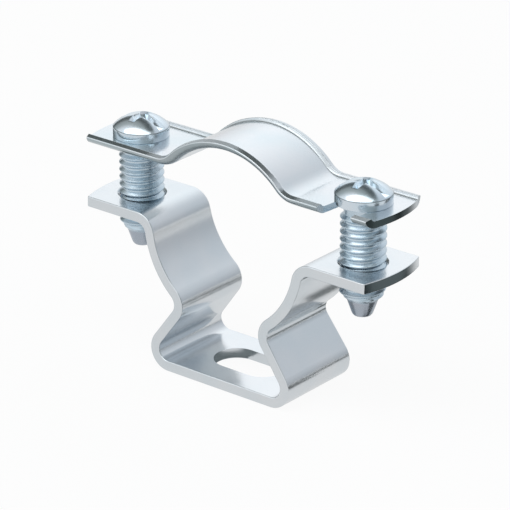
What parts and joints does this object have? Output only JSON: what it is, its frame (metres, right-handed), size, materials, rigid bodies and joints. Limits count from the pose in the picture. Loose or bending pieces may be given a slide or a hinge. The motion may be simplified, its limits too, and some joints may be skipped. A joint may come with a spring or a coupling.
{
  "type": "saddle clamp",
  "caption": "Metal pipe clamp: a bent strip bracket with a slotted base and concave seats, closed by an arched saddle that captive screws draw down.",
  "frame": {"origin": "middle of the base slot, on the underside that lies against the wall", "axes": "+Z away from the wall, +X along the clamp across the pipe, +Y along the pipe"},
  "size_m": [0.047, 0.013, 0.0335],
  "materials": {
    "zinc_bracket": "bright zinc plate, light blue passivate, satin",
    "zinc_saddle": "bright zinc plate, light blue passivate, satin",
    "zinc_screw": "bright zinc plate, light blue passivate"
  },
  "bodies": {
    "bracket": {"bracket": "zinc_bracket"},
    "saddle": {"saddle": "zinc_saddle"},
    "screw_left": {"screw_left": "zinc_screw"},
    "screw_right": {"screw_right": "zinc_screw"}
  },
  "joints": [
    {"name": "saddle_travel", "type": "slide", "parent": "bracket", "child": "saddle", "axis": [0, 0, 1], "range_m": [-0.007, 0.004]},
    {"name": "screw_left_turn", "type": "hinge", "parent": "saddle", "child": "screw_left", "pos_m": [-0.01809, 0, 0.0286], "axis": [0, 0, 1], "range_deg": [-2521, 1441]},
    {"name": "screw_right_turn", "type": "hinge", "parent": "saddle", "child": "screw_right", "pos_m": [0.01809, 0, 0.0286], "axis": [0, 0, 1], "range_deg": [-2521, 1441]}
  ],
  "couplings": [
    {"joint": "screw_left_turn", "follows": "saddle_travel", "rad_per_m": 6283.2},
    {"joint": "screw_right_turn", "follows": "saddle_travel", "rad_per_m": 6283.2}
  ]
}
